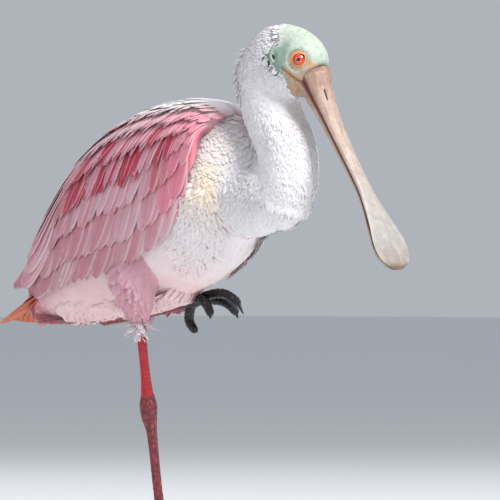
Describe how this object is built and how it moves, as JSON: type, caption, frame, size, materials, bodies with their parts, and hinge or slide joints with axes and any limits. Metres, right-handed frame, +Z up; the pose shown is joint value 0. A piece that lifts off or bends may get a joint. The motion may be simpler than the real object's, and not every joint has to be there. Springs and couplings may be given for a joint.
{
  "type": "roseate spoonbill",
  "caption": "Life-size still model of a pink wading bird with a spoon-shaped bill, standing on one leg with its neck drawn in.",
  "frame": {"origin": "under the pad of the standing right foot, on the surface it stands on", "axes": "+X the way the bird faces, +Y its left, +Z up"},
  "size_m": [0.4276, 0.1274, 0.4275],
  "materials": {
    "body_feathers": "soft white to pale pink body feathers",
    "neck_feathers": "woolly off-white neck feathers",
    "head_skin": "bare pale green skin with orange round the eye and gape",
    "bill": "horny grey-buff bill, pink at the base, mottled",
    "eye": "wet red iris with a black pupil",
    "wing_feathers": "pink wing feathers with a carmine shoulder band",
    "tail_feathers": "tawny orange tail feathers with red coverts",
    "leg_skin": "dark red scaly leg skin",
    "foot_skin": "near-black scaly toes with dark claws"
  },
  "bodies": {
    "root": {"torso": "body_feathers", "neck": "neck_feathers", "head": "head_skin", "bill_upper": "bill", "bill_lower": "bill", "eye_right": "eye", "eye_left": "eye", "wing_right": "wing_feathers", "wing_left": "wing_feathers", "tail": "tail_feathers", "thigh_right": "body_feathers", "shank_right": "leg_skin", "tarsus_right": "leg_skin", "foot_right": "foot_skin", "toe_right_inner": "foot_skin", "toe_right_middle": "foot_skin", "toe_right_outer": "foot_skin", "toe_right_hind": "foot_skin", "thigh_left": "body_feathers", "shank_left": "leg_skin", "tarsus_left": "leg_skin", "foot_left": "foot_skin", "toe_left_inner": "foot_skin", "toe_left_middle": "foot_skin", "toe_left_outer": "foot_skin", "toe_left_hind": "foot_skin"}
  },
  "joints": []
}
